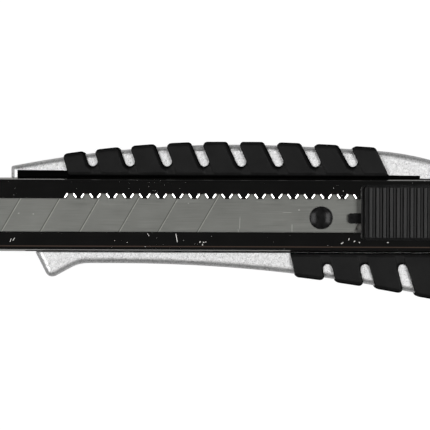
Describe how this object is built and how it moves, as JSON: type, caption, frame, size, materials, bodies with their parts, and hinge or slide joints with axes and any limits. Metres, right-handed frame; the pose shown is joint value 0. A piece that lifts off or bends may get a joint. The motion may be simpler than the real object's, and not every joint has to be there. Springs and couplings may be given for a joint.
{
  "type": "utility knife",
  "caption": "Heavy-duty snap-off utility knife with a die-cast handle, rubber grips, a steel blade channel and a spring-locked thumb slider.",
  "frame": {"origin": "under the middle of the knife, on the surface that its back rests on", "axes": "+X along the knife from nose to tail, +Y across it away from the cutting edge, +Z out of the slot face"},
  "size_m": [0.175, 0.0474, 0.0176],
  "materials": {
    "silver_casting": "die-cast, coarse sparkle silver paint",
    "grip_rubber": "soft matt black elastomer",
    "mirror_steel": "mirror-polished stainless sheet with fine handling scratches",
    "blade_steel": "ground satin tool steel, grain along the blade",
    "carriage_steel": "zinc-plated steel",
    "spring_steel": "tempered spring steel",
    "black_steel": "glossy black",
    "slider_plastic": "semi-matt black moulded plastic",
    "black_plastic": "matt black moulded plastic",
    "plated_fasteners": "zinc-plated steel"
  },
  "bodies": {
    "handle": {"body_casting": "silver_casting", "upper_grip": "grip_rubber", "lower_grip": "grip_rubber", "blade_channel": "mirror_steel", "end_plug": "black_plastic", "channel_nuts": "plated_fasteners", "channel_screws": "plated_fasteners"},
    "carriage": {"snap_blade": "blade_steel", "blade_carrier": "carriage_steel", "blade_stud": "black_steel", "slider_core": "black_steel", "core_rivets": "black_steel", "lock_spring": "spring_steel", "spring_rivets": "carriage_steel", "drag_spring": "spring_steel"},
    "thumb_button": {"thumb_slider": "slider_plastic", "slider_screws": "plated_fasteners"}
  },
  "joints": [
    {"name": "carriage_slide", "type": "slide", "parent": "handle", "child": "carriage", "axis": [-1, 0, 0], "range_m": [0, 0.0893], "deforming": ["lock_spring"]},
    {"name": "thumb_press", "type": "slide", "parent": "carriage", "child": "thumb_button", "axis": [0, 0, -1], "range_m": [0, 0.0008], "stiffness_N_per_m": 4000, "springref_m": -0.0004, "deforming": ["lock_spring"]}
  ]
}
